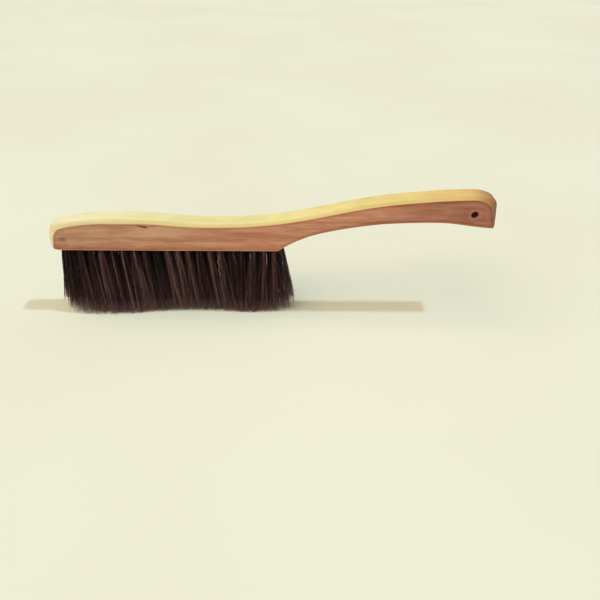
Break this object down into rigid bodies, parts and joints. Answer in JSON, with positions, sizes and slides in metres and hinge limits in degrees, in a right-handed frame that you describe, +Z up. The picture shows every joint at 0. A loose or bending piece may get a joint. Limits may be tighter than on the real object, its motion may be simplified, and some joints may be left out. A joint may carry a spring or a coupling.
{
  "type": "bee brush",
  "caption": "Long wooden bee brush: a curved one-piece handle block with staggered rows of soft dark horsehair tufts and a hanging hole in its tail.",
  "frame": {"origin": "middle of the overall box at ground level, with the brush standing on the cut ends of its hair", "axes": "+X runs from the hair end to the tail of the handle, +Z up, +Y from the front row of tufts to the back row"},
  "size_m": [0.4023, 0.018, 0.1229],
  "materials": {
    "wood": "sanded, thinly oiled beech, satin",
    "hair": "natural dark brown horsehair with a soft sheen"
  },
  "bodies": {
    "handle": {"handle_block": "wood"},
    "front_row": {"front_tuft_01": "hair", "front_tuft_02": "hair", "front_tuft_03": "hair", "front_tuft_04": "hair", "front_tuft_05": "hair", "front_tuft_06": "hair", "front_tuft_07": "hair", "front_tuft_08": "hair", "front_tuft_09": "hair", "front_tuft_10": "hair", "front_tuft_11": "hair", "front_tuft_12": "hair", "front_tuft_13": "hair", "front_tuft_14": "hair", "front_tuft_15": "hair", "front_tuft_16": "hair", "front_tuft_17": "hair", "front_tuft_18": "hair", "front_tuft_19": "hair", "front_tuft_20": "hair"},
    "back_row": {"back_tuft_01": "hair", "back_tuft_02": "hair", "back_tuft_03": "hair", "back_tuft_04": "hair", "back_tuft_05": "hair", "back_tuft_06": "hair", "back_tuft_07": "hair", "back_tuft_08": "hair", "back_tuft_09": "hair", "back_tuft_10": "hair", "back_tuft_11": "hair", "back_tuft_12": "hair", "back_tuft_13": "hair", "back_tuft_14": "hair", "back_tuft_15": "hair", "back_tuft_16": "hair", "back_tuft_17": "hair", "back_tuft_18": "hair", "back_tuft_19": "hair", "back_tuft_20": "hair", "back_tuft_21": "hair"}
  },
  "joints": [
    {"name": "front_row_flex", "type": "hinge", "parent": "handle", "child": "front_row", "pos_m": [0, -0.0036, 0.067], "axis": [1, 0, 0], "range_deg": [-25, 25], "stiffness_Nm_per_rad": 1, "deforming": ["front_tuft_01", "front_tuft_02", "front_tuft_03", "front_tuft_04", "front_tuft_05", "front_tuft_06", "front_tuft_07", "front_tuft_08", "front_tuft_09", "front_tuft_10", "front_tuft_11", "front_tuft_12", "front_tuft_13", "front_tuft_14", "front_tuft_15", "front_tuft_16", "front_tuft_17", "front_tuft_18", "front_tuft_19", "front_tuft_20"]},
    {"name": "back_row_flex", "type": "hinge", "parent": "handle", "child": "back_row", "pos_m": [0, 0.0036, 0.067], "axis": [1, 0, 0], "range_deg": [-25, 25], "stiffness_Nm_per_rad": 1, "deforming": ["back_tuft_01", "back_tuft_02", "back_tuft_03", "back_tuft_04", "back_tuft_05", "back_tuft_06", "back_tuft_07", "back_tuft_08", "back_tuft_09", "back_tuft_10", "back_tuft_11", "back_tuft_12", "back_tuft_13", "back_tuft_14", "back_tuft_15", "back_tuft_16", "back_tuft_17", "back_tuft_18", "back_tuft_19", "back_tuft_20", "back_tuft_21"]}
  ],
  "couplings": [
    {"joint": "back_row_flex", "follows": "front_row_flex", "ratio": 1}
  ]
}
